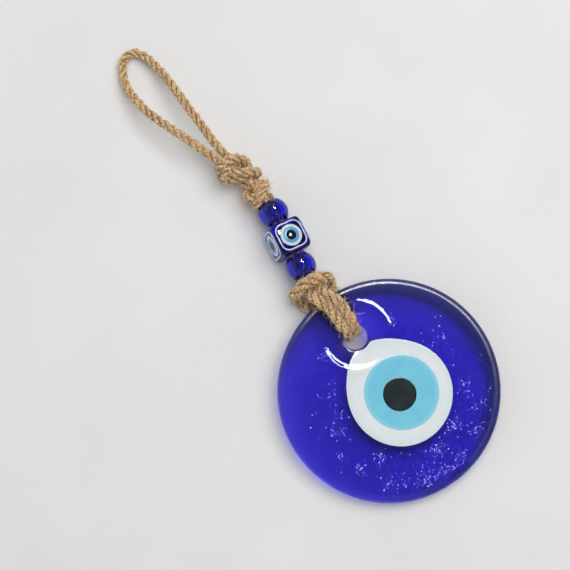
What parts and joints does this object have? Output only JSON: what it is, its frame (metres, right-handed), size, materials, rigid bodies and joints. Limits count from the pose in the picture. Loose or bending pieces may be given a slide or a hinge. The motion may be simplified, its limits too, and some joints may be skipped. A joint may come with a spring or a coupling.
{
  "type": "evil eye wall hanging",
  "caption": "Cobalt glass disc with a fused glass eye, hung in a cow hitch of jute rope with glass beads, knots and a hanging loop.",
  "frame": {"origin": "on the surface that the ornament lies on, under the middle of its outline seen from above", "axes": "+Z out of the eye's face, +Y along the rope towards the hanging loop, +X to the right with the loop at the top"},
  "size_m": [0.111, 0.2743, 0.0205],
  "materials": {
    "cobalt_glass": "polished",
    "white_glass": "gloss",
    "light_blue_glass": "gloss",
    "black_glass": "gloss",
    "jute_rope": "rough"
  },
  "bodies": {
    "cord": {"hitch_front_left": "jute_rope", "hitch_front_right": "jute_rope", "hitch_back_left": "jute_rope", "hitch_back_right": "jute_rope", "hitch_band": "jute_rope", "bead_cord": "jute_rope", "lower_knot": "jute_rope", "upper_knot": "jute_rope", "cord_end": "jute_rope"},
    "disc": {"glass_disc": "cobalt_glass", "eye_white": "white_glass", "eye_iris": "light_blue_glass", "eye_pupil": "black_glass"},
    "low_bead": {"lower_bead": "cobalt_glass"},
    "cube": {"cube_bead": "cobalt_glass", "cube_white_front": "white_glass", "cube_iris_front": "light_blue_glass", "cube_pupil_front": "black_glass", "cube_white_left": "white_glass", "cube_iris_left": "light_blue_glass", "cube_pupil_left": "black_glass", "cube_white_back": "white_glass", "cube_iris_back": "light_blue_glass", "cube_pupil_back": "black_glass", "cube_white_right": "white_glass", "cube_iris_right": "light_blue_glass", "cube_pupil_right": "black_glass"},
    "high_bead": {"upper_bead": "cobalt_glass"},
    "loop": {"hanging_loop": "jute_rope"}
  },
  "joints": [
    {"name": "disc_swing", "type": "hinge", "parent": "cord", "child": "disc", "pos_m": [-0.0008, -0.02163, 0.0105], "axis": [1, 0, 0], "range_deg": [-35, 35], "deforming": ["hitch_front_left", "hitch_front_right", "hitch_back_left", "hitch_back_right"]},
    {"name": "lower_bead_spin", "type": "hinge", "parent": "cord", "child": "low_bead", "pos_m": [-0.00163, -0.00609, 0.00993], "axis": [0.1219, 0.9925, 0], "continuous": true},
    {"name": "cube_spin", "type": "hinge", "parent": "cord", "child": "cube", "pos_m": [0.00022, 0.00901, 0.00993], "axis": [0.1219, 0.9925, 0], "continuous": true},
    {"name": "upper_bead_spin", "type": "hinge", "parent": "cord", "child": "high_bead", "pos_m": [0.00208, 0.02411, 0.00993], "axis": [0.1219, 0.9925, 0], "continuous": true},
    {"name": "loop_swing", "type": "hinge", "parent": "cord", "child": "loop", "pos_m": [-0.00332, 0.06024, 0.00993], "axis": [0.9744, 0.225, 0], "range_deg": [-20, 40], "deforming": ["hanging_loop"]}
  ]
}
